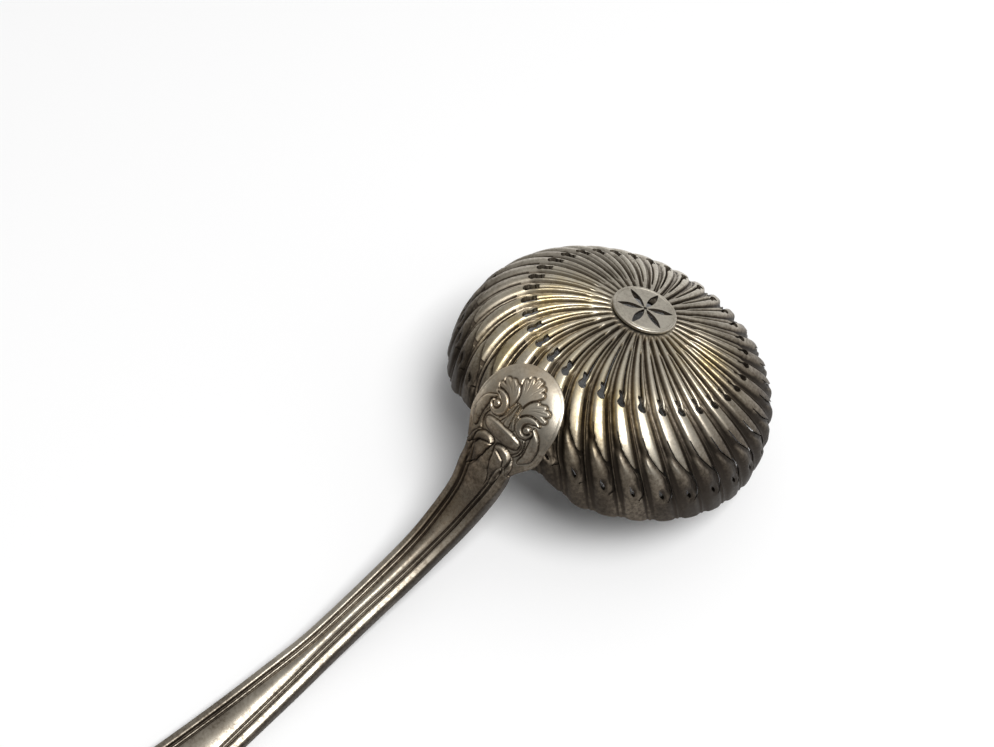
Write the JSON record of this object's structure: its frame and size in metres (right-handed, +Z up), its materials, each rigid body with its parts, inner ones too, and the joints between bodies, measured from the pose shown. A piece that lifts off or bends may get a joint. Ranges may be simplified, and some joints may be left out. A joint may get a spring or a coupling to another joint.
{
  "type": "pierced serving ladle",
  "caption": "Pierced tomato server with a round swirl-fluted bowl, petal-pierced base medallion and a threaded, bent handle whose arched heel plate is soldered to the bowl.",
  "frame": {"origin": "on the table, under the middle of the ladle as it lies face down on the far edge of its rim and on its handle", "axes": "+Y from the handle's tip towards the bowl, +Z up from the table, +X to the right when seen from the handle's tip"},
  "size_m": [0.062, 0.179, 0.034],
  "materials": {
    "silver": "worn polished silver with warm tarnish in the recesses",
    "bowl_silver": "worn polished silver with a faint golden wash",
    "solder": "dull grey silver solder"
  },
  "bodies": {
    "root": {"bowl": "bowl_silver", "base_medallion": "silver", "medallion_solder": "solder", "handle": "silver", "heel_solder": "solder"}
  },
  "joints": []
}
